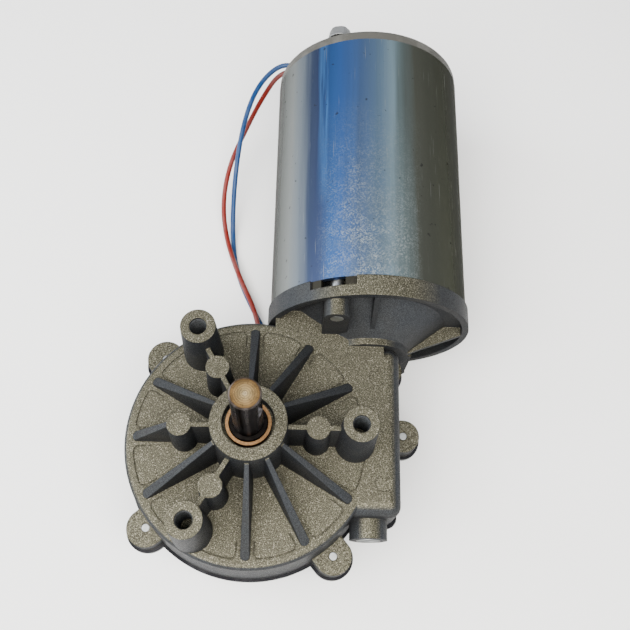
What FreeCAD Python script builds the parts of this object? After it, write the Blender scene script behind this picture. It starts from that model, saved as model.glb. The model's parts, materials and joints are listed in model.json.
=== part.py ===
import FreeCAD, Part
import math
import os

# Permanent-magnet DC gear motor with a worm drive, in millimetres.
# Origin: centre of the three mounting bosses, in the plane of their faces, on the output shaft.
# +Z runs out along the free end of the output shaft, +Y along the motor tube to its end cap.

V = FreeCAD.Vector
CLEAR = 0.1  # gap between pieces that do not touch

# Output shaft and its bearings
SHAFT_R = 5.0
SHAFT_TOP = 32.0
SHAFT_END = -50.5
BUSH_BORE_R = 5.03
BUSH_R = 7.7
UPPER_BUSH = (-14.0, -2.6)
LOWER_BUSH = (-33.4, -22.0)
BUSH_MOUTH = 1.6
KEY_WIDTH = 3.0
KEY_DISC_R = 6.5
KEY_DEPTH = 3.8
KEY_Z = 22.0
KEY_ANGLE = -20.0

# Casting: gear case
PLATE_Z = -27.9
GROOVE_WIDTH = 0.35
GROOVE_DEPTH = 0.35
PLATE_THICK = 3.2
JOINT_Z = -52.7
CASE_TOP_R = 45.0
CASE_BASE_R = 46.0
CAVITY_R = 40.6
GROOVE_R = 41.6
HUB_R = 13.0
HUB_TOP = -1.3
HUB_RECESS_R = 8.8
HUB_RECESS_DEPTH = 5.0
INNER_HUB_R = 11.0
INNER_HUB_END = -33.4

# Mounting bosses, stiffening ribs and ejector discs
BOSS_PCD = 75.0
BOSS_R = 6.1
BOSS_BASE_R = 7.3
BOSS_HOLE_R = 3.0
BOSS_HOLE_DEPTH = 18.0
BOSS_ANGLES = (0, 120, 240)
DISC_PCD = 47.0
DISC_R = 4.1
DISC_TOP = -6.9
DISC_ANGLES = (0, 120, 180, 240)
TAPER_ANGLES = (30, 60, 90, 150, 210, 270, 300, 330)
RIB_BASE_HALF = 1.65
RIB_TOP_HALF = 0.85
RIB_END_R = 1.75

# Worm gear: one start, right hand
MODULE = 1.5
TEETH = 50
PRESSURE = math.radians(20.0)
WHEEL_PITCH_R = MODULE * TEETH / 2.0
WORM_PITCH_R = 6.0
WORM_LEAD = math.pi * MODULE
WORM_TURNS = 7
WORM_TIP_R = 7.4
WORM_ROOT_R = 4.2
WHEEL_TIP_R = 38.9
WHEEL_ROOT_R = 35.6
WHEEL_FACE = 12.0
TOOTH_THICK = WORM_LEAD / 2.0 - 0.18

# Motor axis, parallel to Y
MOTOR_X = WHEEL_PITCH_R + WORM_PITCH_R
MOTOR_Z = -41.0
TUNNEL_R = 8.6
BLOCK_X = 54.4
BLOCK_Y = -25.6

# Flange and motor tube
FLANGE_R = 39.4
FLANGE_Y = (47.1, 54.9)
FLANGE_WEB_Y = 50.4
FLANGE_RIM = 2.6
CAN_R = 38.5
CAN_BORE_R = 36.5
CAN_END_Y = 158.7
CAP_END_Y = 163.4
TIE_ANGLE = 115.0
TIE_PCR = 33.2
TIE_R = 2.4
TIE_TIP_Y = 41.0
WINDOW_HALF = 13.2
WINDOW_DEPTH = 3.5
TAB_LENGTH = 3.2

# Leads
LEAD_R = 1.1

# Cover screws: centre x, y of each lug and its radius
LUGS = ((-37.2, -29.6, 7.0), (31.2, -38.0, 6.8), (57.4, 7.0, 6.2), (52.0, 33.0, 5.4), (-35.0, 35.0, 7.2))
LUG_TOP = -45.0
COVER_THICK = 2.3
COVER_LIP = 1.1
COVER_END_Y = 36.6
GASKET_THICK = 0.4


def polar(radius, angle, z=0.0):
    """Point at a radius and an angle in degrees about the output shaft."""
    turn = math.radians(angle)
    return V(radius * math.cos(turn), radius * math.sin(turn), z)


def about_motor(radius, angle, y=0.0):
    """Point about the motor axis; angle in degrees from +X towards +Z."""
    turn = math.radians(angle)
    return V(MOTOR_X + radius * math.cos(turn), y, MOTOR_Z + radius * math.sin(turn))


def rod(radius, start, end):
    """Cylinder from one point to another."""
    axis = end - start
    return Part.makeCylinder(radius, axis.Length, start, axis)


def upright(radius, z0, z1, at=V(0, 0, 0)):
    return rod(radius, V(at.x, at.y, z0), V(at.x, at.y, z1))


def motor_rod(radius, y0, y1, off=V(0, 0, 0)):
    """Cylinder parallel to the motor axis."""
    start = V(MOTOR_X, y0, MOTOR_Z) + off
    return rod(radius, start, start + V(0, y1 - y0, 0))


def motor_ring(outer, inner, y0, y1):
    return motor_rod(outer, y0, y1).cut(motor_rod(inner, y0, y1))


def cone(r0, r1, start, end):
    axis = end - start
    return Part.makeCone(r0, r1, axis.Length, start, axis)


def box(x0, x1, y0, y1, z0, z1):
    return Part.makeBox(x1 - x0, y1 - y0, z1 - z0, V(x0, y0, z0))


def prism(points, along):
    """Flat polygon pushed along a vector."""
    wire = Part.makePolygon(list(points) + [points[0]])
    return Part.Face(wire).extrude(along)


def join(shapes):
    solid = shapes[0].multiFuse(list(shapes[1:]))
    return solid.removeSplitter()


def tie_centres():
    return [about_motor(TIE_PCR, TIE_ANGLE + turn) for turn in (0, 180)]


def motor_sector(inner, outer, y0, y1, middle, half):
    """Part of a ring about the motor axis, between two angles."""
    corners = [about_motor(0, 0, y0)]
    for step in (-1.0, -0.5, 0.0, 0.5, 1.0):
        corners.append(about_motor(outer * 1.5, middle + step * half, y0))
    wedge = prism(corners, V(0, y1 - y0, 0))
    return motor_ring(outer, inner, y0, y1).common(wedge)


# ---------------------------------------------------------------- casting

def drafted_rib(angle, outline):
    """Radial rib: outline gives (radius, z); its half thickness grows towards the plate."""
    across = polar(1.0, angle + 90)
    slope = (RIB_BASE_HALF - RIB_TOP_HALF) / (DISC_TOP - PLATE_Z)
    left = []
    right = []
    for radius, z in outline:
        half = RIB_TOP_HALF + slope * (DISC_TOP - z)
        left.append(polar(radius, angle, z) + across * half)
        right.append(polar(radius, angle, z) - across * half)
    faces = [Part.Face(Part.makePolygon(left + left[:1])), Part.Face(Part.makePolygon(right + right[:1]))]
    for i in range(len(left)):
        j = (i + 1) % len(left)
        faces.append(Part.Face(Part.makePolygon([left[i], left[j], right[j], right[i], left[i]])))
    return Part.Solid(Part.Shell(faces))


def rounded_tip(rib, angle, reach):
    """Round the outer end of a rib in plan."""
    middle = reach - RIB_END_R
    keep = join([box(0, middle, -5, 5, PLATE_Z - 2, 0), upright(RIB_END_R, PLATE_Z - 2, 0, V(middle, 0, 0))])
    keep.rotate(V(0, 0, 0), V(0, 0, 1), angle)
    return rib.common(keep)


def plate_features():
    """Hub, bosses, discs and ribs that stand on the top plate."""
    foot = PLATE_Z - 0.5
    tip = GROOVE_R + 0.3
    shapes = [cone(HUB_R + 1.0, HUB_R, V(0, 0, foot), V(0, 0, HUB_TOP))]
    for angle in BOSS_ANGLES:
        shapes.append(cone(BOSS_BASE_R, BOSS_R, polar(BOSS_PCD / 2, angle, foot),
                           polar(BOSS_PCD / 2, angle, 0)))
        shapes.append(drafted_rib(angle, ((9, foot), (BOSS_PCD / 2, foot),
                                          (BOSS_PCD / 2, DISC_TOP), (9, DISC_TOP))))
    for angle in DISC_ANGLES:
        shapes.append(cone(DISC_R + 0.9, DISC_R, polar(DISC_PCD / 2, angle, foot),
                           polar(DISC_PCD / 2, angle, DISC_TOP)))
    for angle in TAPER_ANGLES:
        rib = drafted_rib(angle, ((9, foot), (tip, foot), (tip, PLATE_Z + 0.5),
                                  (tip - 1.0, PLATE_Z + 1.3), (HUB_R + 0.5, -4.6), (9, -4.6)))
        shapes.append(rounded_tip(rib, angle, tip))
    rib = drafted_rib(180, ((9, foot), (tip, foot), (tip, PLATE_Z + 0.5), (tip - 1.0, PLATE_Z + 1.3),
                            (DISC_PCD / 2 + 3, DISC_TOP), (9, DISC_TOP)))
    shapes.append(rounded_tip(rib, 180, tip))
    return shapes


def sector_groove(angle):
    """Fine engraved line round the outer corners of one sector of the plate, between two ribs."""
    solids = []
    for inset in (0.0, GROOVE_WIDTH):
        outer = GROOVE_R - inset
        first = polar(1.0, angle + 90) * (2.9 + inset)
        second = polar(1.0, angle - 60) * (2.9 + inset)
        low = PLATE_Z - GROOVE_DEPTH
        corners = [polar(30, angle, low) + first, polar(60, angle, low) + first,
                   polar(60, angle + 30, low) + second, polar(30, angle + 30, low) + second]
        wedge = prism(corners, V(0, 0, 2)).common(upright(outer, low, low + 2))
        far = [e for e in wedge.Edges if len(e.Vertexes) == 2
               and all(math.hypot(v.X, v.Y) > outer - 0.01 for v in e.Vertexes)
               and abs(e.Vertexes[0].Z - e.Vertexes[1].Z) > 1]
        solids.append(wedge.makeFillet(2.2 - inset, far))
    ring = upright(60, PLATE_Z - 2, PLATE_Z + 2).cut(upright(35.5, PLATE_Z - 3, PLATE_Z + 3))
    return solids[0].cut(solids[1]).common(ring)


def lug_solids(z0, z1, grow=0.0):
    """Screw lugs and the webs that join them to the case wall."""
    shapes = []
    for x, y, radius in LUGS:
        centre = V(x, y, z0)
        shapes.append(upright(radius + grow, z0, z1, centre))
        inward = V(-x, -y, 0)
        if x > BLOCK_X - 3:
            inward = V(-1, 0, 0)
        inward.normalize()
        side = V(-inward.y, inward.x, 0) * (radius + grow)
        reach = centre + inward * 12
        shapes.append(prism([centre + side, reach + side, reach - side, centre - side], V(0, 0, z1 - z0)))
    return shapes


def worm_block(z0, z1, grow=0.0):
    """Long block beside the round case, round at its free corners."""
    block = box(15, BLOCK_X + grow, BLOCK_Y - grow, 37 + grow, z0, z1)
    corners = []
    for edge in block.Edges:
        ends = [v.Point for v in edge.Vertexes]
        if all(abs(p.x - BLOCK_X - grow) < 1e-6 for p in ends) and abs(ends[0].z - ends[1].z) > 0.1:
            corners.append(edge)
    return block.makeFillet(4.0, corners)


def motor_neck():
    """Funnel, flange, tie-bolt bosses and webs that carry the motor tube."""
    y0, y1 = FLANGE_Y
    shapes = [motor_rod(FLANGE_R, FLANGE_WEB_Y, y1), motor_rod(CAN_BORE_R - CLEAR, y1, y1 + 4.0)]
    shapes.append(motor_ring(FLANGE_R, FLANGE_R - FLANGE_RIM, y0, FLANGE_WEB_Y + 1))
    shapes.append(cone(14.5, 30.0, V(MOTOR_X, 38.6, MOTOR_Z), V(MOTOR_X, FLANGE_WEB_Y + 0.1, MOTOR_Z)))
    shapes.append(motor_rod(15.6, 37.0, 43.0))
    for centre in tie_centres():
        up = 1 if centre.z > MOTOR_Z else -1
        shapes.append(rod(4.7, V(centre.x, TIE_TIP_Y, centre.z), V(centre.x, FLANGE_WEB_Y + 1, centre.z)))
        low, high = sorted((centre.z, MOTOR_Z + up * 10))
        shapes.append(box(centre.x - 4.6, centre.x + 4.6, TIE_TIP_Y + 0.4, FLANGE_WEB_Y + 1, low, high))
    for up in (1, -1):
        tip = MOTOR_Z + up * (FLANGE_R - 2.5)
        root = MOTOR_Z + up * 12
        shapes.append(prism([V(MOTOR_X - 0.9, FLANGE_WEB_Y + 1, tip), V(MOTOR_X - 0.9, y0 + 0.4, tip),
                             V(MOTOR_X - 0.9, 39.8, root), V(MOTOR_X - 0.9, FLANGE_WEB_Y + 1, root)],
                            V(1.8, 0, 0)))
    shapes.append(prism([V(50, 36, MOTOR_Z - 1), V(BLOCK_X, 36.5, MOTOR_Z - 1), V(62.3, 40.2, MOTOR_Z - 1),
                         V(MOTOR_X + 37.5, y0 + 0.3, MOTOR_Z - 1),
                         V(MOTOR_X + 37.5, FLANGE_WEB_Y + 1, MOTOR_Z - 1),
                         V(50, FLANGE_WEB_Y + 1, MOTOR_Z - 1)], V(0, 0, 2)))
    return shapes


def make_gear_housing():
    wall = cone(CASE_BASE_R, CASE_TOP_R, V(0, 0, JOINT_Z), V(0, 0, PLATE_Z))
    top_edge = [e for e in wall.Edges if e.Closed and abs(e.CenterOfMass.z - PLATE_Z) < 1e-6]
    wall = wall.makeFillet(1.6, top_edge)
    block = worm_block(JOINT_Z, PLATE_Z)
    top_side = [e for e in block.Edges
                if all(abs(v.Z - PLATE_Z) < 1e-6 and v.X > BLOCK_X - 4.1 for v in e.Vertexes)]
    block = block.makeFillet(5.0, top_side)
    left = MOTOR_X - math.sqrt(FLANGE_R ** 2 - (PLATE_Z - MOTOR_Z) ** 2)
    shoulder = box(left + 1.0, 30.0, 25.0, FLANGE_WEB_Y + 0.5, JOINT_Z, PLATE_Z)
    throat = box(26.0, BLOCK_X - 6.0, 20.0, 38.6, JOINT_Z, PLATE_Z)
    gusset = prism([V(29, 37, JOINT_Z), V(37, 37, JOINT_Z), V(29, 45, JOINT_Z)], V(0, 0, PLATE_Z - JOINT_Z))
    outside = join([wall, block, shoulder, throat, gusset] + lug_solids(JOINT_Z, LUG_TOP) + motor_neck())
    for sector in range(12):
        outside = outside.cut(sector_groove(30 * sector))
    plug_boss = motor_rod(6.9, -32.6, BLOCK_Y + 2)
    outside = join([outside, plug_boss] + plate_features())

    ceiling = PLATE_Z - PLATE_THICK
    cuts = [upright(CAVITY_R, JOINT_Z - 1, ceiling).cut(upright(INNER_HUB_R, INNER_HUB_END, ceiling + 1))]
    cuts.append(motor_rod(TUNNEL_R, -20.0, 35.0))
    cuts.append(motor_rod(5.5, -27.0, -19.0))
    cuts.append(motor_rod(4.5, -33.0, -26.0))
    cuts.append(motor_rod(6.5, 34.0, 44.0))
    cuts.append(motor_rod(11.0, 43.0, 52.0))
    cuts.append(motor_rod(28.5, 50.8, 60.0))
    cuts.append(upright(HUB_RECESS_R, HUB_TOP - HUB_RECESS_DEPTH, 1))
    cuts.append(upright(BUSH_R, INNER_HUB_END - 1, UPPER_BUSH[1] + 0.1))
    for angle in BOSS_ANGLES:
        at = polar(BOSS_PCD / 2, angle)
        cuts.append(upright(BOSS_HOLE_R, -BOSS_HOLE_DEPTH, 1, at))
    for x, y, _ in LUGS:
        cuts.append(upright(1.5, JOINT_Z - 1, LUG_TOP + 1, V(x, y, 0)))
    for centre in tie_centres():
        cuts.append(rod(TIE_R + CLEAR, V(centre.x, TIE_TIP_Y - 1, centre.z), V(centre.x, 60, centre.z)))
    for turn in (0, 180):
        sill = FLANGE_Y[1] - WINDOW_DEPTH
        cuts.append(motor_sector(29.5, FLANGE_R + 1, sill, 60, TIE_ANGLE - 0.7 + turn, WINDOW_HALF))
    for x, y in ((48.0, -14.0), (46.0, 25.0)):
        cuts.append(upright(3.2, PLATE_Z - 0.25, PLATE_Z + 1, V(x, y, 0)))
    housing = outside
    for tool in cuts:
        housing = housing.cut(tool)
    return housing.removeSplitter()


def case_outline(z0, z1, grow=0.0):
    """Plan outline of the case where the cover meets it."""
    plan = join([upright(CASE_BASE_R + grow, z0, z1), worm_block(z0, z1, grow)] + lug_solids(z0, z1, grow))
    return plan.cut(box(15.0, 80.0, COVER_END_Y, 60.0, z0 - 1, z1 + 1))


def make_gasket():
    z0 = JOINT_Z - GASKET_THICK
    gasket = case_outline(z0, JOINT_Z).cut(upright(CAVITY_R + 0.4, z0 - 1, JOINT_Z + 1))
    for x, y, _ in LUGS:
        gasket = gasket.cut(upright(2.2, z0 - 1, JOINT_Z + 1, V(x, y, 0)))
    return gasket


def make_rear_cover():
    top = JOINT_Z - GASKET_THICK
    cover = case_outline(top - COVER_THICK, top, COVER_LIP)
    dish = cone(30.0, 32.0, V(0, 0, top - COVER_THICK - 2.2), V(0, 0, top - COVER_THICK + 0.1))
    cover = join([cover, dish])
    cover = cover.cut(cone(28.0, 30.5, V(0, 0, top - COVER_THICK - 0.4), V(0, 0, top + 0.1)))
    for x, y, _ in LUGS:
        cover = cover.cut(upright(2.2, top - 9, top + 1, V(x, y, 0)))
    return cover


def make_cover_screws():
    seat = JOINT_Z - GASKET_THICK - COVER_THICK
    screws = []
    for x, y, _ in LUGS:
        at = V(x, y, 0)
        head = upright(3.7, seat - 2.6, seat, at)
        rim = [e for e in head.Edges if e.Closed and abs(e.CenterOfMass.z - seat + 2.6) < 1e-6]
        head = head.makeFillet(0.8, rim)
        shank = upright(1.4, seat, LUG_TOP, at)
        screw = join([head, shank])
        for turn in (0, 90):
            slot = box(-2.2, 2.2, -0.45, 0.45, seat - 3, seat - 1.4)
            slot.rotate(V(0, 0, 0), V(0, 0, 1), turn)
            slot.translate(at)
            screw = screw.cut(slot)
        screws.append(screw)
    return Part.makeCompound(screws)


# ---------------------------------------------------------------- output shaft and worm wheel

def make_bush(span):
    bush = upright(BUSH_R - 0.02, span[0], span[1])
    return bush.cut(upright(BUSH_BORE_R, span[0] - 1, span[1] + 1))


def make_shaft_seal():
    ring = Part.makeTorus(6.35, 1.25, V(0, 0, -18.0))
    return ring.cut(upright(BUSH_BORE_R + 0.05, -22, -14))


def make_output_shaft():
    shaft = upright(SHAFT_R, SHAFT_END, SHAFT_TOP)
    ends = [e for e in shaft.Edges if e.Closed]
    shaft = shaft.makeChamfer(0.5, ends)
    groove = upright(SHAFT_R + 1, -2.4, -1.5).cut(upright(4.6, -3, -1))
    disc = rod(KEY_DISC_R, V(0, 0, 0), V(0, KEY_WIDTH, 0))
    disc.translate(V(SHAFT_R + KEY_DISC_R - KEY_DEPTH, -KEY_WIDTH / 2, KEY_Z))
    disc.rotate(V(0, 0, 0), V(0, 0, 1), KEY_ANGLE)
    return shaft.cut(groove).cut(disc)


def make_circlip():
    ring = upright(6.3, -2.3, -1.6).cut(upright(4.62, -3, -1))
    return ring.cut(box(3, 8, -1.6, 1.6, -3, -1))


def make_washer(outer, z0, z1):
    return upright(outer, z0, z1).cut(upright(SHAFT_R + 0.03, z0 - 1, z1 + 1))


def involute(angle):
    return math.tan(angle) - angle


def gear_outline(z, turn):
    """Wheel teeth as a closed wire at height z, turned by an angle in radians."""
    base = WHEEL_PITCH_R * math.cos(PRESSURE)
    at_pitch = TOOTH_THICK / (2 * WHEEL_PITCH_R)
    flank = []
    for radius in (WHEEL_ROOT_R, WHEEL_PITCH_R, WHEEL_TIP_R):
        half = at_pitch + involute(PRESSURE) - involute(math.acos(base / radius))
        flank.append((radius, half))
    points = []
    for tooth in range(TEETH):
        middle = turn + 2 * math.pi * (tooth + 0.5) / TEETH
        for radius, half in flank:
            points.append(V(radius * math.cos(middle - half), radius * math.sin(middle - half), z))
        for radius, half in reversed(flank):
            points.append(V(radius * math.cos(middle + half), radius * math.sin(middle + half), z))
    return Part.makePolygon(points + points[:1])


def make_wheel_hub():
    hub = upright(8.6, -49.0, -34.1).cut(upright(SHAFT_R, -60, 0))
    disc = upright(15.0, MOTOR_Z - 1.5, MOTOR_Z + 1.5).cut(upright(8.0, -60, 0))
    for hole in range(6):
        disc = disc.cut(upright(1.6, -60, 0, polar(12.0, 60 * hole)))
    return join([hub, disc])


def make_worm_wheel(hub):
    tilt = math.tan(math.atan(WORM_LEAD / (2 * math.pi * WORM_PITCH_R))) / WHEEL_PITCH_R
    half = WHEEL_FACE / 2
    wires = [gear_outline(MOTOR_Z - half, -tilt * half), gear_outline(MOTOR_Z + half, tilt * half)]
    wheel = Part.makeLoft(wires, True, True)
    for z0, z1 in ((MOTOR_Z - half - 1, MOTOR_Z - 3.4), (MOTOR_Z + 3.4, MOTOR_Z + half + 1)):
        wheel = wheel.cut(upright(31.5, z0, z1).cut(upright(16.5, z0 - 1, z1 + 1)))
    wheel = wheel.cut(upright(8.6, -60, 0))
    for hole in range(8):
        wheel = wheel.cut(upright(4.2, -60, 0, polar(24.0, 45 * hole)))
    return wheel.cut(hub)


# ---------------------------------------------------------------- armature

def along_motor(shape):
    """Turn a shape made on Z so that it lies on the motor axis."""
    shape.rotate(V(0, 0, 0), V(1, 0, 0), -90)
    shape.translate(V(MOTOR_X, 0, MOTOR_Z))
    return shape


def make_worm_shaft():
    length = WORM_TURNS * WORM_LEAD
    helix = Part.makeHelix(WORM_LEAD, length, WORM_PITCH_R)
    half = TOOTH_THICK / 2
    section = []
    for radius in (WORM_ROOT_R - 0.4, WORM_TIP_R):
        section.append((radius, half - (radius - WORM_PITCH_R) * math.tan(PRESSURE)))
    (foot, wide), (tip, thin) = section
    profile = Part.makePolygon([V(foot, 0, -wide), V(tip, 0, -thin), V(tip, 0, thin), V(foot, 0, wide),
                                V(foot, 0, -wide)])
    thread = Part.Wire(helix).makePipeShell([profile], True, True)
    thread.translate(V(0, 0, -length / 2))
    core = upright(WORM_ROOT_R, -length / 2 - 3.5, length / 2 + 4.5)
    worm = along_motor(thread.fuse(core))
    front = motor_rod(3.0, -25.4, -19.0)
    middle = motor_rod(6.0, 20.5, 34.5)
    journal = motor_rod(4.0, 34.0, 66.0)
    rotor = motor_rod(5.0, 66.0, 146.0)
    rear = motor_rod(3.5, 146.0, 168.0)
    return join([worm, front, middle, journal, rotor, rear])


def make_stack():
    stack = motor_rod(28.0, 70.0, 116.0)
    for slot in range(12):
        at = about_motor(20.5, 30 * slot, 69.0)
        stack = stack.cut(rod(3.9, at, at + V(0, 50, 0)))
        gap = box(20.5, 30.0, 69.0, 120.0, -1.0, 1.0)
        gap.rotate(V(0, 0, 0), V(0, 1, 0), -30 * slot)
        gap.translate(V(MOTOR_X, 0, MOTOR_Z))
        stack = stack.cut(gap)
    return stack.cut(motor_rod(5.0, 60, 130))


def make_windings():
    coils = [motor_ring(25.0, 10.5, 62.5, 69.5), motor_ring(25.0, 12.5, 116.5, 125.0)]
    for slot in range(12):
        at = about_motor(20.5, 30 * slot, 69.0)
        coils.append(rod(3.6, at, at + V(0, 48.0, 0)))
    return join(coils)


def make_commutator():
    bars = motor_ring(11.5, 5.0, 128.0, 145.0)
    for slot in range(12):
        cut = box(10.6, 12.5, 127.0, 143.0, -0.3, 0.3)
        cut.rotate(V(0, 0, 0), V(0, 1, 0), -30 * slot - 15)
        cut.translate(V(MOTOR_X, 0, MOTOR_Z))
        bars = bars.cut(cut)
    return bars


def make_bearing_balls():
    balls = []
    for ball in range(7):
        balls.append(Part.makeSphere(1.9, about_motor(7.5, 360.0 * ball / 7, 46.5)))
    return Part.makeCompound(balls)


def bearing_race(outer, inner):
    race = motor_ring(outer, inner, 43.0, 50.0)
    groove = Part.makeTorus(7.5, 2.0, V(MOTOR_X, 46.5, MOTOR_Z), V(0, 1, 0))
    return race.cut(groove)


# ---------------------------------------------------------------- motor tube and brush gear

def make_motor_can():
    can = motor_ring(CAN_R, CAN_BORE_R, FLANGE_Y[1], CAN_END_Y)
    tabs = []
    for turn in (0, 180):
        for side in (-1, 1):
            middle = TIE_ANGLE - 0.7 + turn + side * 9.9
            tabs.append(motor_sector(CAN_BORE_R, CAN_R, FLANGE_Y[1] - TAB_LENGTH, FLANGE_Y[1] + 1,
                                     middle, 2.9))
    return join([can] + tabs)


def make_magnet(middle):
    return motor_sector(28.7, CAN_BORE_R - 0.05, 64.0, 124.0, middle, 56.0)


def make_magnet_clips():
    clips = []
    for turn in (0, 180):
        outer = motor_sector(CAN_BORE_R - 1.0, CAN_BORE_R - 0.1, 70.0, 118.0, TIE_ANGLE + turn, 18.0)
        middle = about_motor(TIE_PCR, TIE_ANGLE + turn)
        clips.append(outer.cut(rod(TIE_R + 0.3, V(middle.x, 60, middle.z), V(middle.x, 130, middle.z))))
    return Part.makeCompound(clips)


def make_end_cap():
    cap = motor_rod(CAN_R - 0.2, CAN_END_Y, CAP_END_Y)
    rim = [e for e in cap.Edges if e.Closed and abs(e.CenterOfMass.y - CAP_END_Y) < 1e-6]
    cap = cap.makeFillet(1.8, rim)
    spigot = motor_ring(CAN_BORE_R - CLEAR, 28.0, CAN_END_Y - 4, CAN_END_Y)
    dome = motor_rod(13.0, CAP_END_Y - 1, 171.5)
    top = [e for e in dome.Edges if e.Closed and abs(e.CenterOfMass.y - 171.5) < 1e-6]
    dome = dome.makeFillet(3.0, top)
    cap = join([cap, spigot, dome])
    cap = cap.cut(motor_rod(8.0, 150.0, 169.0))
    for centre in tie_centres():
        cap = cap.cut(rod(TIE_R + CLEAR, V(centre.x, 150, centre.z), V(centre.x, 170, centre.z)))
    grommet = lead_exit(0)
    return cap.cut(rod(4.0, V(grommet.x, 150, grommet.z), V(grommet.x, 170, grommet.z)))


def make_tie_bolts():
    bolts = []
    for centre in tie_centres():
        shank = rod(TIE_R, V(centre.x, TIE_TIP_Y, centre.z), V(centre.x, CAP_END_Y + 1.0, centre.z))
        corners = []
        for corner in range(6):
            turn = math.radians(60 * corner + 12)
            corners.append(V(centre.x + 4.62 * math.cos(turn), CAP_END_Y + 0.9,
                             centre.z + 4.62 * math.sin(turn)))
        head = prism(corners, V(0, 3.6, 0))
        crown = cone(5.6, 3.6, V(centre.x, CAP_END_Y, centre.z), V(centre.x, CAP_END_Y + 6.5, centre.z))
        head = head.common(crown)
        bolts.append(join([shank, head]))
    return Part.makeCompound(bolts)


def make_tie_washers():
    washers = []
    for centre in tie_centres():
        start = V(centre.x, CAP_END_Y, centre.z)
        ring = rod(5.0, start, start + V(0, 0.9, 0))
        washers.append(ring.cut(rod(TIE_R + 0.05, start - V(0, 1, 0), start + V(0, 2, 0))))
    return Part.makeCompound(washers)


def make_rear_bush():
    ball = Part.makeSphere(7.9, V(MOTOR_X, 163.0, MOTOR_Z))
    ball = ball.common(motor_rod(9.0, 158.5, 167.5))
    return ball.cut(motor_rod(3.53, 150, 175))


def make_retainer():
    ring = motor_ring(12.0, 7.0, 157.4, 157.9)
    legs = []
    for leg in range(3):
        at = about_motor(10.5, 120 * leg + 30, 157.4)
        legs.append(rod(1.0, at, at + V(0, 1.3, 0)))
    return join([ring] + legs)


def radial_box(inner, outer, wide, y0, y1, turn):
    """Box that points outwards from the motor axis."""
    shape = box(inner, outer, y0, y1, -wide / 2, wide / 2)
    shape.rotate(V(0, 0, 0), V(0, 1, 0), -(TIE_ANGLE - 90 + turn))
    shape.translate(V(MOTOR_X, 0, MOTOR_Z))
    return shape


def make_brush(turn):
    brush = radial_box(11.6, 20.0, 6.0, 131.0, 140.0, turn)
    return brush


def make_brush_holder(turn):
    holder = radial_box(13.0, 27.0, 9.0, 129.0, 142.9, turn)
    return holder.cut(radial_box(10.0, 26.0, 6.2, 130.8, 140.2, turn))


def make_brush_spring(turn):
    spring = radial_box(20.1, 25.9, 4.0, 133.5, 137.5, turn)
    return spring


def make_brush_plate():
    plate = motor_ring(35.5, 14.0, 143.0, 145.0)
    for centre in tie_centres():
        plate = plate.cut(rod(TIE_R + 0.8, V(centre.x, 140, centre.z), V(centre.x, 150, centre.z)))
    return plate


# ---------------------------------------------------------------- leads

def lead_exit(side):
    """Where a lead leaves the grommet: side -1 red, +1 blue, 0 the grommet's centre."""
    return V(14.6, CAP_END_Y + 3.4, -48.8 + 1.6 * side)


def make_grommet():
    at = lead_exit(0)
    body = rod(3.9, V(at.x, CAP_END_Y - 5, at.z), at)
    collar = rod(5.2, V(at.x, CAP_END_Y, at.z), V(at.x, CAP_END_Y + 1.6, at.z))
    return join([body, collar])


BLUE_ROUTE = (
    (14.6, 166.8, -47.2), (14.6, 176.5, -47.2), (5.0, 181.5, -49.5), (-5.5, 170.5, -51.8),
    (-11.3, 152.5, -55.5), (-14.4, 130.0, -65.0), (-15.0, 107.5, -79.3), (-12.0, 88.0, -79.3),
    (-2.6, 68.0, -79.3), (9.0, 48.0, -79.3), (13.5, 24.0, -79.3), (5.0, 2.0, -79.3),
    (-14.0, -8.0, -79.3), (-30.0, -4.0, -79.3))

RED_ROUTE = (
    (14.6, 166.8, -50.4), (14.6, 177.6, -50.4), (4.2, 181.4, -56.0), (-4.4, 167.0, -59.5),
    (-11.6, 151.0, -63.5), (-17.6, 136.0, -67.5), (-19.8, 120.0, -73.5), (-17.4, 104.0, -77.4),
    (-10.8, 85.6, -76.7), (-1.4, 66.6, -76.7), (1.5, 46.0, -79.3), (-4.0, 26.0, -79.3),
    (-18.0, 14.0, -79.3), (-34.0, 18.0, -79.3))


def lead_path(route):
    """Straight runs joined by tangent arcs, as one wire, with its length and smallest radius."""
    points = [V(*p) for p in route]
    edges = []
    start = points[0]
    tightest = 1e9
    for before, corner, after in zip(points, points[1:], points[2:]):
        back = before - corner
        ahead = after - corner
        shorter = min(back.Length, ahead.Length)
        turn = math.pi - back.getAngle(ahead)
        back.normalize()
        ahead.normalize()
        reach = 0.45 * shorter
        radius = reach / math.tan(turn / 2)
        tightest = min(tightest, radius)
        middle = back + ahead
        middle.normalize()
        mid_point = corner + middle * (radius / math.cos(turn / 2) - radius)
        enter = corner + back * reach
        leave = corner + ahead * reach
        edges.append(Part.LineSegment(start, enter).toShape())
        edges.append(Part.Arc(enter, mid_point, leave).toShape())
        start = leave
    edges.append(Part.LineSegment(start, points[-1]).toShape())
    wire = Part.Wire(edges)
    return wire, wire.Length, tightest


def make_lead(name, route):
    wire, length, tightest = lead_path(route)
    first = V(*route[1]) - V(*route[0])
    circle = Part.Wire(Part.makeCircle(LEAD_R, V(*route[0]), first))
    tube = wire.makePipeShell([circle], True, False)
    section = math.pi * LEAD_R ** 2
    print(name, "length", round(length, 1), "smallest radius", round(tightest, 1),
          "volume ratio", round(tube.Volume / (section * length), 4), "valid", tube.isValid())
    return tube


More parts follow.
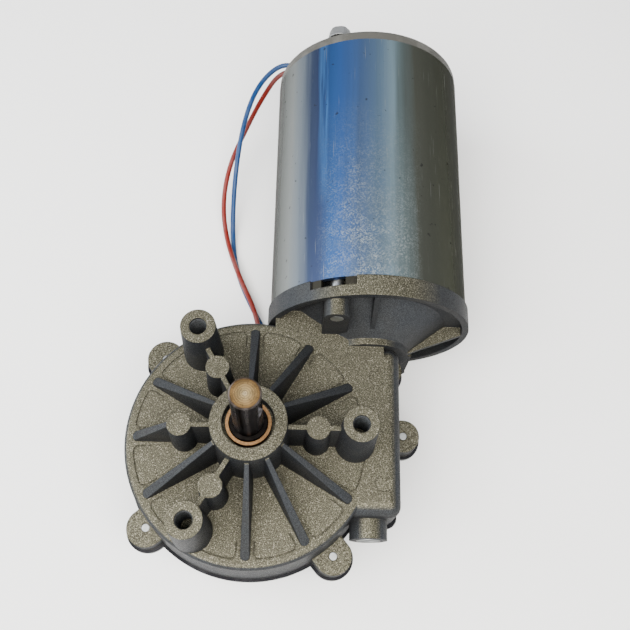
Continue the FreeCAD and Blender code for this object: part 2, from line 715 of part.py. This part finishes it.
def make_terminal(route):
    """Crimped push-on blade receptacle at the end of a lead."""
    end = V(*route[-1])
    ahead = end - V(*route[-2])
    body = [rod(1.7, V(0, 0, 0), V(5.0, 0, 0)), box(4.5, 7.0, -1.6, 1.6, -1.1, 0.2),
            box(6.8, 15.0, -3.6, 3.6, -1.1, -0.4)]
    for side in (-1, 1):
        curl = rod(1.1, V(6.8, side * 2.6, 0.35), V(15.0, side * 2.6, 0.35))
        body.append(curl)
    terminal = join(body)
    terminal = terminal.cut(box(-1, 20, -5, 5, -3, -LEAD_R))
    terminal.rotate(V(0, 0, 0), V(0, 0, 1), math.degrees(math.atan2(ahead.y, ahead.x)))
    terminal.translate(end)
    return terminal


# ---------------------------------------------------------------- write every node

def build():
    bearing_clip = motor_ring(10.9, 9.0, 50.05, 50.75)
    hub = make_wheel_hub()
    shapes = {
        "gear_housing": make_gear_housing(),
        "cover_gasket": make_gasket(),
        "rear_cover": make_rear_cover(),
        "cover_screws": make_cover_screws(),
        "upper_bush": make_bush(UPPER_BUSH).cut(cone(
            BUSH_BORE_R - 0.1, BUSH_BORE_R + BUSH_MOUTH + 0.1,
            V(0, 0, UPPER_BUSH[1] - BUSH_MOUTH - 0.1), V(0, 0, UPPER_BUSH[1] + 0.1))),
        "lower_bush": make_bush(LOWER_BUSH),
        "shaft_seal": make_shaft_seal(),
        "output_shaft": make_output_shaft(),
        "circlip": make_circlip(),
        "upper_thrust_washer": make_washer(6.25, -2.55, -2.32),
        "lower_thrust_washer": make_washer(8.4, -34.05, -33.5),
        "wheel_hub": hub,
        "worm_wheel": make_worm_wheel(hub),
        "worm_shaft": make_worm_shaft(),
        "lamination_stack": make_stack(),
        "armature_windings": make_windings(),
        "commutator": make_commutator(),
        "bearing_inner_race": bearing_race(6.1, 4.0),
        "bearing_outer_race": bearing_race(10.95, 8.9),
        "bearing_balls": make_bearing_balls(),
        "bearing_clip": bearing_clip,
        "worm_end_bush": motor_ring(5.48, 3.03, -26.9, -20.5),
        "thrust_plug": motor_rod(4.4, -32.8, -27.0).cut(box(MOTOR_X - 3.2, MOTOR_X + 3.2, -33.5, -31.8,
                                                            MOTOR_Z - 0.5, MOTOR_Z + 0.5)),
        "thrust_ball": Part.makeSphere(0.75, V(MOTOR_X, -26.2, MOTOR_Z)),
        "motor_can": make_motor_can(),
        "left_magnet": make_magnet(TIE_ANGLE + 90),
        "right_magnet": make_magnet(TIE_ANGLE - 90),
        "magnet_clips": make_magnet_clips(),
        "end_cap": make_end_cap(),
        "tie_bolts": make_tie_bolts(),
        "tie_washers": make_tie_washers(),
        "rear_bush": make_rear_bush(),
        "bush_retainer": make_retainer(),
        "brush_plate": make_brush_plate(),
        "lead_grommet": make_grommet(),
        "blue_lead": make_lead("blue_lead", BLUE_ROUTE),
        "red_lead": make_lead("red_lead", RED_ROUTE),
        "blue_terminal": make_terminal(BLUE_ROUTE),
        "red_terminal": make_terminal(RED_ROUTE),
    }
    for name, turn in (("left", 180), ("right", 0)):
        shapes[name + "_brush"] = make_brush(turn)
        shapes[name + "_brush_holder"] = make_brush_holder(turn)
        shapes[name + "_brush_spring"] = make_brush_spring(turn)
    return shapes


os.makedirs("parts", exist_ok=True)
for node, shape in build().items():
    shape.exportStep("parts/" + node + ".step")
    box_size = shape.BoundBox
    print(node, "solids", len(shape.Solids), "valid", shape.isValid(), "volume", round(shape.Volume, 1),
          "box", [round(v, 1) for v in (box_size.XMin, box_size.XMax, box_size.YMin, box_size.YMax,
                                        box_size.ZMin, box_size.ZMax)])
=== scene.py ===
import bpy
import json
import math
from mathutils import Matrix, Vector


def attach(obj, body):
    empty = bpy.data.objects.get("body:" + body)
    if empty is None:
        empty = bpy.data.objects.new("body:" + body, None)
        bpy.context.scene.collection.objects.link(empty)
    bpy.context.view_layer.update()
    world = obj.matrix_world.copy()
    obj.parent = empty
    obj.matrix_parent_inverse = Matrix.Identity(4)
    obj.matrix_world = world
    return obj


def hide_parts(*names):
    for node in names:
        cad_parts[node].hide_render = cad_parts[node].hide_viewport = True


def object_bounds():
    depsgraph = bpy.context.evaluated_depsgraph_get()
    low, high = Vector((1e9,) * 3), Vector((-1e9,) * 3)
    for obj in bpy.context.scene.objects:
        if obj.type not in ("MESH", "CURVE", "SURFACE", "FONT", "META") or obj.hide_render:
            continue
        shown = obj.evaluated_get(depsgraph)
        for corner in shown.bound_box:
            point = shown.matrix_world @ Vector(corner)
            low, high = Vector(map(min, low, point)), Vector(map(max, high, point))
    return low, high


# Looks of a cast gear motor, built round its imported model. Metres; +Z out of the shaft, +Y along the motor.

MM = 0.001
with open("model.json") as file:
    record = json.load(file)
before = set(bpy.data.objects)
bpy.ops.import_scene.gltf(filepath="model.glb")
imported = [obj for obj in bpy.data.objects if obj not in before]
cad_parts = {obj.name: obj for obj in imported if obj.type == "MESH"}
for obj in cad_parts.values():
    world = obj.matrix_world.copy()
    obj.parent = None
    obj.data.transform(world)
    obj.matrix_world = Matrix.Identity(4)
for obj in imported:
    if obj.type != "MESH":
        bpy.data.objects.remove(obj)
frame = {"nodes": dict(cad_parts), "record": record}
cad_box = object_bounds()
FLOOR_Z = cad_box[0][2]
MOTOR_X = 43.5 * MM
MOTOR_Z = -41.0 * MM
TUBE_START_Y = 54.9 * MM
SHAFT_TOP_Z = 32.0 * MM


# ---------------------------------------------------------------- camera

def set_camera():
    """Camera above the shaft, turned a little about its own line of sight."""
    place = Vector((11.83, -69.17, 273.02)) * MM
    azimuth, elevation, roll = (math.radians(v) for v in (-5.0, 68.5, 6.6))
    back = Vector((math.sin(azimuth) * math.cos(elevation),
                   -math.cos(azimuth) * math.cos(elevation), math.sin(elevation)))
    right = Vector((math.cos(azimuth), math.sin(azimuth), 0))
    up = back.cross(right)
    turned_right = right * math.cos(roll) + up * math.sin(roll)
    turned_up = up * math.cos(roll) - right * math.sin(roll)
    rows = Matrix((turned_right, turned_up, back)).transposed().to_4x4()
    data = bpy.data.cameras.new("camera")
    data.sensor_width = 36.0
    data.lens = 48.57
    data.clip_start = 0.01
    camera = bpy.data.objects.new("camera", data)
    camera.matrix_world = Matrix.Translation(place) @ rows
    bpy.context.collection.objects.link(camera)
    bpy.context.scene.camera = camera


set_camera()


# ---------------------------------------------------------------- leads

BLUE_ROUTE = (
    (14.6, 166.8, -47.2), (14.6, 176.5, -47.2), (5.0, 181.5, -49.5), (-5.5, 170.5, -51.8),
    (-11.3, 152.5, -55.5), (-14.4, 130.0, -65.0), (-15.0, 107.5, -79.3), (-12.0, 88.0, -79.3),
    (-2.6, 68.0, -79.3), (9.0, 48.0, -79.3), (13.5, 24.0, -79.3), (5.0, 2.0, -79.3),
    (-14.0, -8.0, -79.3), (-30.0, -4.0, -79.3))

RED_ROUTE = (
    (14.6, 166.8, -50.4), (14.6, 177.6, -50.4), (4.2, 181.4, -56.0), (-4.4, 167.0, -59.5),
    (-11.6, 151.0, -63.5), (-17.6, 136.0, -67.5), (-19.8, 120.0, -73.5), (-17.4, 104.0, -77.4),
    (-10.8, 85.6, -76.7), (-1.4, 66.6, -76.7), (1.5, 46.0, -79.3), (-4.0, 26.0, -79.3),
    (-18.0, 14.0, -79.3), (-34.0, 18.0, -79.3))

LEAD_R = 1.1 * MM


def mesh_of(lead):
    """The curve's shape as a mesh, with the modifiers and bevel that it has now."""
    bpy.context.view_layer.update()
    shown = lead.evaluated_get(bpy.context.evaluated_depsgraph_get())
    return bpy.data.meshes.new_from_object(shown)


def make_lead(name, route):
    """One insulated wire: a round tube along a smooth NURBS line."""
    curve = bpy.data.curves.new(name + "_line", "CURVE")
    curve.dimensions = "3D"
    spline = curve.splines.new("NURBS")
    spline.points.add(len(route) - 1)
    for point, place in zip(spline.points, route):
        point.co = (place[0] * MM, place[1] * MM, place[2] * MM, 1.0)
    spline.order_u = 3
    spline.use_endpoint_u = True
    spline.resolution_u = 14
    line = bpy.data.objects.new(name + "_line", curve)
    bpy.context.collection.objects.link(line)
    path = [tuple(vertex.co) for vertex in mesh_of(line).vertices]
    curve.bevel_depth = LEAD_R
    curve.bevel_resolution = 6
    curve.use_fill_caps = True
    lead = bpy.data.objects.new(name + "_wire", mesh_of(line))
    bpy.context.collection.objects.link(lead)
    bpy.data.objects.remove(line)
    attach(lead, "housing")
    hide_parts(name)
    return lead


blue_lead = make_lead("blue_lead", BLUE_ROUTE)
red_lead = make_lead("red_lead", RED_ROUTE)


# ---------------------------------------------------------------- material helpers

# How much of its white sheen a metal keeps where it turns away; at full strength it washes the colours out.
EDGE_SHEEN = 0.12


class Mat:
    """A node material with short ways to add the nodes that these surfaces share."""

    def __init__(self, name, color, metallic=0.0, roughness=0.5):
        self.material = bpy.data.materials.new(name)
        self.material.use_nodes = True
        self.tree = self.material.node_tree
        self.shader = self.tree.nodes["Principled BSDF"]
        self.shader.inputs["Base Color"].default_value = (*color, 1.0)
        self.shader.inputs["Metallic"].default_value = metallic
        self.shader.inputs["Roughness"].default_value = roughness
        self.shader.inputs["Specular Tint"].default_value = (EDGE_SHEEN, EDGE_SHEEN, EDGE_SHEEN, 1.0)
        self.coords = self.node("ShaderNodeTexCoord").outputs["Object"]

    def node(self, kind, **values):
        made = self.tree.nodes.new(kind)
        for key, value in values.items():
            if hasattr(made, key):
                setattr(made, key, value)
            else:
                made.inputs[key.replace("_", " ")].default_value = value
        return made

    def link(self, source, target):
        self.tree.links.new(source, target)

    def scaled(self, x, y, z, turn=(0, 0, 0), place=(0, 0, 0)):
        mapping = self.node("ShaderNodeMapping")
        mapping.inputs["Scale"].default_value = (x, y, z)
        mapping.inputs["Rotation"].default_value = turn
        mapping.inputs["Location"].default_value = place
        self.link(self.coords, mapping.inputs["Vector"])
        return mapping.outputs["Vector"]

    def noise(self, scale, detail=4.0, roughness=0.55, vector=None):
        made = self.node("ShaderNodeTexNoise", Scale=scale, Detail=detail, Roughness=roughness)
        self.link(vector or self.coords, made.inputs["Vector"])
        return made.outputs["Fac"]

    def cells(self, scale, feature="F1", vector=None, output="Distance"):
        made = self.node("ShaderNodeTexVoronoi", Scale=scale)
        made.feature = feature
        self.link(vector or self.coords, made.inputs["Vector"])
        return made.outputs[output]

    def remap(self, value, low, high, to_low=0.0, to_high=1.0):
        made = self.node("ShaderNodeMapRange")
        made.clamp = True
        for key, number in (("From Min", low), ("From Max", high), ("To Min", to_low), ("To Max", to_high)):
            made.inputs[key].default_value = number
        self.link(value, made.inputs["Value"])
        return made.outputs["Result"]

    def math(self, operation, first, second=0.0):
        made = self.node("ShaderNodeMath", operation=operation)
        for index, value in enumerate((first, second)):
            if isinstance(value, (int, float)):
                made.inputs[index].default_value = value
            else:
                self.link(value, made.inputs[index])
        return made.outputs["Value"]

    def mix(self, factor, first, second, blend="MIX"):
        """Mix two colours; either may be a tuple or a socket."""
        made = self.node("ShaderNodeMix", data_type="RGBA", blend_type=blend)
        if isinstance(factor, (int, float)):
            made.inputs["Factor"].default_value = factor
        else:
            self.link(factor, made.inputs["Factor"])
        for index, value in ((6, first), (7, second)):
            if isinstance(value, tuple):
                made.inputs[index].default_value = (*value, 1.0)
            else:
                self.link(value, made.inputs[index])
        return made.outputs[2]

    def ramp(self, value, stops):
        made = self.node("ShaderNodeValToRGB")
        elements = made.color_ramp.elements
        while len(elements) < len(stops):
            elements.new(0.5)
        for element, (position, color) in zip(elements, stops):
            element.position = position
            element.color = (*color, 1.0)
        self.link(value, made.inputs["Fac"])
        return made.outputs["Color"]

    def bump(self, height, strength, distance, normal=None):
        made = self.node("ShaderNodeBump", Strength=strength, Distance=distance)
        self.link(height, made.inputs["Height"])
        if normal is not None:
            self.link(normal, made.inputs["Normal"])
        return made.outputs["Normal"]

    def soft_edges(self, radius):
        made = self.node("ShaderNodeBevel", Radius=radius)
        made.samples = 4
        return made.outputs["Normal"]

    def set(self, **sockets):
        names = {"color": "Base Color", "metallic": "Metallic", "roughness": "Roughness", "normal": "Normal"}
        for key, socket in sockets.items():
            self.link(socket, self.shader.inputs[names[key]])

    def shaft_radius(self):
        """Distance from the output shaft's axis."""
        across = self.math("POWER", self.axis("X"), 2.0)
        along = self.math("POWER", self.axis("Y"), 2.0)
        return self.math("SQRT", self.math("ADD", across, along))

    def axis(self, which, kind="Object"):
        """One component of the object position or normal."""
        split = self.node("ShaderNodeSeparateXYZ")
        source = self.coords if kind == "Object" else self.node("ShaderNodeTexCoord").outputs["Normal"]
        self.link(source, split.inputs["Vector"])
        return split.outputs[which]


# ---------------------------------------------------------------- materials

RING_PITCH = 0.70 * MM


def cast_aluminium():
    """Die-cast skin with a fine grain, with painted light and shade by face direction: pale lit upward faces
    with painted glints, painted slate grey shade on slopes, painted near-black shade on walls.
    """
    m = Mat("cast_aluminium", (0.12, 0.11, 0.085), 0.75, 0.5)
    grain = m.noise(2900.0, 3.0, 0.65)
    cloud = m.noise(60.0, 3.0)
    flake = m.node("ShaderNodeSeparateColor")
    m.link(m.cells(4200.0, output="Color"), flake.inputs[0])
    # Painted light and shade: colour follows which way a face points. Faces that point up are pale as if lit,
    # slopes are painted slate grey shade and walls painted near-black shade.
    facing = m.axis("Z", "Normal")
    up = m.remap(facing, 0.80, 0.95)
    slope = m.remap(facing, 0.25, 0.75)
    top = m.ramp(m.remap(grain, 0.32, 0.68), (
        (0.0, (0.015, 0.0145, 0.010)), (0.5, (0.060, 0.057, 0.041)), (1.0, (0.190, 0.180, 0.132))))
    slope_shade = m.ramp(m.remap(grain, 0.32, 0.68), (
        (0.0, (0.016, 0.018, 0.021)), (1.0, (0.072, 0.077, 0.083))))
    wall = m.ramp(m.remap(grain, 0.35, 0.66), (
        (0.0, (0.007, 0.008, 0.0095)), (1.0, (0.025, 0.027, 0.031))))
    color = m.mix(up, m.mix(slope, wall, slope_shade), top)
    color = m.mix(m.remap(cloud, 0.35, 0.7, 0.0, 0.25), color, (0.050, 0.045, 0.034))
    # Painted glints: pale grain specks that show only on upward faces, where the overhead light would catch
    # them.
    painted_glint = m.math("MULTIPLY", m.remap(flake.outputs[0], 0.88, 0.98, 0.0, 0.50), up)
    color = m.mix(painted_glint, color, (0.42, 0.39, 0.31))
    rough = m.remap(flake.outputs[1], 0.0, 1.0, 0.40, 0.66)
    m.link(m.remap(slope, 0.0, 1.0, 0.12, 0.72), m.shader.inputs["Metallic"])
    m.link(m.remap(slope, 0.0, 1.0, 0.05, 0.5), m.shader.inputs["Specular IOR Level"])
    m.set(color=color, roughness=rough, normal=m.bump(grain, 0.35, 0.00012, m.soft_edges(0.0006)))
    return m.material


def zinc_plate():
    """Bright zinc on rolled steel: painted reflection in coloured bands round the axis with a painted blue
    glint, a frosty patch, fine scratches, dark tabs.
    """
    m = Mat("zinc_plate", (0.2, 0.21, 0.21), 0.9, 0.36)
    x = m.math("SUBTRACT", m.axis("X"), MOTOR_X)
    z = m.math("SUBTRACT", m.axis("Z"), MOTOR_Z)
    turn = m.math("ARCTAN2", z, x)
    around = m.remap(turn, 0.0, math.pi)
    streak = m.noise(1.0, 4.0, 0.6, m.scaled(260.0, 10.0, 260.0))
    around = m.math("ADD", around, m.remap(streak, 0.3, 0.7, -0.012, 0.012))
    # Painted reflection: colour bands set by the angle round the motor axis stand for the surroundings
    # mirrored in the can, and they turn with the part.
    reflection_bands = m.ramp(around, (
        (0.00, (0.078, 0.080, 0.066)), (0.15, (0.074, 0.077, 0.062)), (0.28, (0.074, 0.077, 0.062)),
        (0.37, (0.084, 0.088, 0.072)), (0.425, (0.125, 0.165, 0.170)), (0.455, (0.190, 0.270, 0.320)),
        (0.49, (0.105, 0.165, 0.245)), (0.55, (0.060, 0.105, 0.215)), (0.61, (0.038, 0.100, 0.290)),
        (0.645, (0.030, 0.085, 0.240)), (0.69, (0.036, 0.050, 0.105)), (0.725, (0.045, 0.060, 0.105)),
        (0.77, (0.150, 0.175, 0.200)), (0.82, (0.200, 0.212, 0.210)), (1.00, (0.165, 0.165, 0.155))))
    frost = m.node("ShaderNodeSeparateColor")
    m.link(m.cells(2300.0, output="Color"), frost.inputs[0])
    low = m.remap(m.axis("Y"), 0.132, 0.070)
    middle = m.math("MULTIPLY", m.remap(around, 0.34, 0.44), m.remap(around, 0.70, 0.58))
    patch = m.math("MULTIPLY", low, middle)
    patchy = m.math("MULTIPLY", patch, m.remap(m.noise(170.0, 5.0, 0.65), 0.30, 0.62))
    veil = m.math("MULTIPLY", patch, m.remap(m.noise(90.0, 5.0, 0.6), 0.3, 0.7, 0.05, 0.45))
    frosty = m.math("MULTIPLY", m.remap(frost.outputs[0], 0.35, 0.95), patchy)
    # Painted highlight: a narrow bright blue streak inside the bands, stronger towards the end cap.
    glint = m.math("MULTIPLY", m.remap(around, 0.655, 0.672), m.remap(around, 0.700, 0.683))
    glint = m.math("MULTIPLY", glint, m.remap(m.axis("Y"), 0.085, 0.150, 0.0, 0.8))
    reflection_bands = m.mix(m.math("MULTIPLY", glint, m.remap(streak, 0.35, 0.6)), reflection_bands, (0.10, 0.36, 0.85))
    color = m.mix(veil, reflection_bands, (0.135, 0.165, 0.165))
    color = m.mix(m.math("MULTIPLY", frosty, 0.7), color, (0.30, 0.33, 0.33))
    scratch = m.noise(1.0, 2.0, 0.5, m.scaled(2200.0, 60.0, 2200.0, (0.0, 0.12, 0.3)))
    color = m.mix(m.remap(scratch, 0.68, 0.76, 0.0, 0.32), color, (0.34, 0.35, 0.33))
    specks = m.noise(420.0, 2.0, 0.5)
    color = m.mix(m.remap(specks, 0.70, 0.76, 0.0, 0.7), color, (0.03, 0.03, 0.03))
    tabs = m.remap(m.axis("Y"), TUBE_START_Y + 0.2 * MM, TUBE_START_Y - 0.2 * MM)
    color = m.mix(tabs, color, (0.030, 0.028, 0.022))
    rough = m.math("ADD", m.remap(streak, 0.3, 0.7, 0.34, 0.46), m.math("MULTIPLY", frosty, 0.15))
    m.set(color=color, roughness=rough, normal=m.bump(m.noise(700.0, 3.0), 0.06, 0.0001))
    return m.material


def painted_steel(name, color, roughness=0.45, grain=700.0):
    """Coated steel with a slight orange peel and dusty wear."""
    m = Mat(name, color, 0.0, roughness)
    m.shader.inputs["Specular IOR Level"].default_value = 0.15
    wear = m.noise(120.0, 5.0, 0.65)
    light = tuple(min(1.0, c * 1.9 + 0.03) for c in color)
    m.set(color=m.mix(m.remap(wear, 0.45, 0.75, 0.0, 0.6), color, light),
          roughness=m.remap(wear, 0.3, 0.7, roughness - 0.1, roughness + 0.15),
          normal=m.bump(m.noise(grain, 3.0), 0.15, 0.0001, m.soft_edges(0.0004)))
    return m.material


def turned_steel():
    """Turned and ground steel; the shaft's end face has fine rings and a painted warm sheen, bright in the
    middle; painted shade darkens the side low down.
    """
    m = Mat("turned_steel", (0.30, 0.28, 0.26), 1.0, 0.25)
    radius = m.shaft_radius()
    rings = m.math("SINE", m.math("MULTIPLY", radius, 2 * math.pi / RING_PITCH))
    lines = m.noise(1.0, 3.0, 0.6, m.scaled(300.0, 300.0, 5200.0))
    at_top = m.remap(m.axis("Z"), SHAFT_TOP_Z - 2 * MM, SHAFT_TOP_Z - MM)
    end = m.math("MULTIPLY", m.remap(m.axis("Z", "Normal"), 0.6, 0.9), at_top)
    # Painted highlight: the end face is bright and warm in the middle and fades to dark at the rim; the
    # turning rings are real.
    painted_end_sheen = m.ramp(m.remap(radius, 0.0, 0.005), (
        (0.0, (0.80, 0.66, 0.40)), (0.22, (0.56, 0.41, 0.20)), (0.6, (0.38, 0.25, 0.11)),
        (0.86, (0.21, 0.125, 0.050)), (0.90, (0.16, 0.10, 0.05)), (1.0, (0.10, 0.065, 0.04))))
    painted_end_sheen = m.mix(m.remap(rings, -1.0, 1.0, 0.0, 0.55), painted_end_sheen, (0.15, 0.09, 0.04))
    sheen = m.noise(1.0, 2.0, 0.5, m.scaled(420.0, 420.0, 4.0))
    side = m.mix(m.remap(sheen, 0.35, 0.65), (0.050, 0.046, 0.046), (0.24, 0.225, 0.225))
    # Painted shade: the shaft's side goes dark below Z = 0, low in its recess.
    side = m.mix(m.remap(m.axis("Z"), 0.0005, 0.0), side, (0.014, 0.012, 0.011))
    height = m.mix(end, lines, rings)
    m.set(color=m.mix(end, side, painted_end_sheen), roughness=m.remap(lines, 0.3, 0.7, 0.2, 0.36),
          normal=m.bump(height, 0.05, 0.00003))
    return m.material


def sintered_bronze():
    """Sintered bush: bright rim, dark mouth round the shaft."""
    m = Mat("bronze", (0.34, 0.19, 0.08), 1.0, 0.36)
    radius = m.shaft_radius()
    # A dark ring round the shaft, within about 6.7 mm of its axis.
    dark_mouth = m.remap(radius, 0.0067, 0.0063)
    sinter = m.mix(m.remap(m.noise(1500.0, 3.0), 0.3, 0.7), (0.20, 0.105, 0.045), (0.36, 0.21, 0.10))
    m.set(color=m.mix(dark_mouth, sinter, (0.010, 0.008, 0.006)), roughness=m.remap(dark_mouth, 0.0, 1.0, 0.34, 0.6))
    return m.material


def plain_metal(name, color, roughness=0.35, grain=900.0):
    """Plated or sintered metal with soft blotches and a fine grain."""
    m = Mat(name, color, 1.0, roughness)
    cloud = m.noise(grain / 6, 4.0)
    dark = tuple(c * 0.55 for c in color)
    m.set(color=m.mix(m.remap(cloud, 0.3, 0.75), color, dark),
          roughness=m.remap(cloud, 0.3, 0.7, roughness - 0.08, roughness + 0.14),
          normal=m.bump(m.noise(grain, 3.0), 0.12, 0.00008, m.soft_edges(0.0003)))
    return m.material


def moulded(name, color, roughness=0.4, grain=500.0, coat=0.0):
    """Moulded plastic, vinyl or rubber with a fine skin and faint dust."""
    m = Mat(name, color, 0.0, roughness)
    m.shader.inputs["Coat Weight"].default_value = coat
    m.shader.inputs["Coat Roughness"].default_value = 0.25
    skin = m.noise(grain, 4.0)
    dust = m.noise(70.0, 4.0)
    pale = tuple(c * 0.6 + 0.12 for c in color)
    m.set(color=m.mix(m.remap(dust, 0.45, 0.8, 0.0, 0.5), color, pale),
          roughness=m.remap(skin, 0.3, 0.7, roughness - 0.08, roughness + 0.12),
          normal=m.bump(skin, 0.12, 0.0001))
    return m.material


SLOT_MATERIALS = {
    "cast_aluminium": cast_aluminium(),
    "zinc_steel": zinc_plate(),
    "cap_steel": painted_steel("cap_steel", (0.060, 0.059, 0.054), 0.5),
    "black_cover": painted_steel("black_cover", (0.012, 0.012, 0.014), 0.42),
    "shaft_steel": turned_steel(),
    "bolt_steel": plain_metal("bolt_steel", (0.45, 0.46, 0.46), 0.4),
    "bronze": sintered_bronze(),
    "gear_plastic": moulded("gear_plastic", (0.78, 0.75, 0.66), 0.45),
    "copper": plain_metal("copper", (0.60, 0.26, 0.12), 0.35),
    "lamination_steel": plain_metal("lamination_steel", (0.24, 0.25, 0.27), 0.45),
    "ferrite": moulded("ferrite", (0.035, 0.035, 0.04), 0.6),
    "carbon": moulded("carbon", (0.02, 0.02, 0.02), 0.7),
    "insulator": moulded("insulator", (0.24, 0.13, 0.06), 0.55),
    "rubber_black": moulded("rubber_black", (0.014, 0.014, 0.014), 0.62),
    "gasket_paper": moulded("gasket_paper", (0.12, 0.11, 0.09), 0.8),
    "blue_pvc": moulded("blue_pvc", (0.004, 0.032, 0.110), 0.36, 900.0, 0.25),
    "red_pvc": moulded("red_pvc", (0.135, 0.010, 0.006), 0.36, 900.0, 0.25),
    "tinned_brass": plain_metal("tinned_brass", (0.66, 0.58, 0.40), 0.3),
}


def paint(piece, slot):
    piece.data.materials.clear()
    piece.data.materials.append(SLOT_MATERIALS[slot])


def paint_nodes():
    for part in frame["record"]["subparts"]:
        node = frame["nodes"][part["node"]]
        for owner in node.material_slots:
            owner.link = "OBJECT"
            owner.material = SLOT_MATERIALS[part["material_slot"]]


paint_nodes()
paint(blue_lead, "blue_pvc")
paint(red_lead, "red_pvc")


# ---------------------------------------------------------------- boss threads

BOSS_PCR = 37.5 * MM
BOSS_ANGLES = (0, 120, 240)
HOLE_R = 3.0 * MM
THREAD_PITCH = 1.0 * MM
THREAD_RISE = 0.45 * MM
THREAD_STEPS = 24
THREAD_BITE = 0.05 * MM
THREAD_HALF = 0.42  # of the pitch
THREAD_TOP = -1.2 * MM
THREAD_DEPTH = 15.0 * MM


def make_thread(name, middle, top, depth):
    """Spiral ridge with a three-cornered section on the wall of a hole."""
    turns = int(depth / THREAD_PITCH)
    root = HOLE_R + THREAD_BITE
    points = []
    faces = []
    for step in range(turns * THREAD_STEPS + 1):
        angle = 2 * math.pi * step / THREAD_STEPS
        height = top - THREAD_PITCH * step / THREAD_STEPS
        ridge = ((root, THREAD_HALF), (HOLE_R - THREAD_RISE, 0.0), (root, -THREAD_HALF))
        for radius, shift in ridge:
            points.append((middle.x + radius * math.cos(angle), middle.y + radius * math.sin(angle),
                           height + shift * THREAD_PITCH))
        if step:
            last = 3 * (step - 1)
            for corner in range(3):
                after = (corner + 1) % 3
                faces.append((last + corner, last + after, last + 3 + after, last + 3 + corner))
    faces += [(2, 1, 0), tuple(len(points) - 3 + corner for corner in range(3))]
    mesh = bpy.data.meshes.new(name)
    mesh.from_pydata(points, [], faces)
    mesh.update()
    thread = bpy.data.objects.new(name, mesh)
    bpy.context.collection.objects.link(thread)
    mesh.materials.append(SLOT_MATERIALS["cast_aluminium"])
    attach(thread, "housing")


for angle in BOSS_ANGLES:
    turn = math.radians(angle)
    make_thread(f"boss_thread_{angle}", Vector((BOSS_PCR * math.cos(turn), BOSS_PCR * math.sin(turn), 0)),
                THREAD_TOP, THREAD_DEPTH)


# ---------------------------------------------------------------- floor and light

FLOOR_SIZE = 6.0
FLOOR_GAP = 0.2 * MM


def make_floor():
    bpy.ops.mesh.primitive_plane_add(size=FLOOR_SIZE, location=(0.03, 0.05, FLOOR_Z - FLOOR_GAP))
    floor = bpy.context.object
    floor.name = "floor"
    m = Mat("pale_floor", (0.94, 0.94, 0.94), 0.0, 0.8)
    m.set(color=m.mix(m.remap(m.noise(3.0, 2.0), 0.3, 0.7), (0.93, 0.93, 0.93), (0.95, 0.95, 0.95)))
    floor.data.materials.append(m.material)


def add_light(name, place, target, size, power, color=(1, 1, 1)):
    data = bpy.data.lights.new(name, "AREA")
    data.shape = "RECTANGLE"
    data.size, data.size_y = size
    data.energy = power
    data.color = color
    light = bpy.data.objects.new(name, data)
    light.location = place
    light.rotation_euler = (Vector(target) - Vector(place)).to_track_quat("-Z", "Y").to_euler()
    bpy.context.collection.objects.link(light)


def make_lights():
    world = bpy.data.worlds.new("studio")
    bpy.context.scene.world = world
    world.use_nodes = True
    world.node_tree.nodes["Background"].inputs["Color"].default_value = (0.93, 0.95, 1.0, 1.0)
    world.node_tree.nodes["Background"].inputs["Strength"].default_value = 0.75
    middle = (0.03, 0.05, -0.03)
    add_light("key", (-0.35, -0.30, 0.85), middle, (0.9, 0.8), 25.0, (1.0, 0.98, 0.94))
    add_light("fill", (-0.70, 0.20, 0.40), middle, (0.25, 0.7), 5.0, (0.88, 0.94, 1.0))
    add_light("neck", (0.16, -0.22, 0.55), (0.04, 0.05, -0.01), (0.35, 0.35), 5.2, (1.0, 0.97, 0.90))


make_floor()
make_lights()
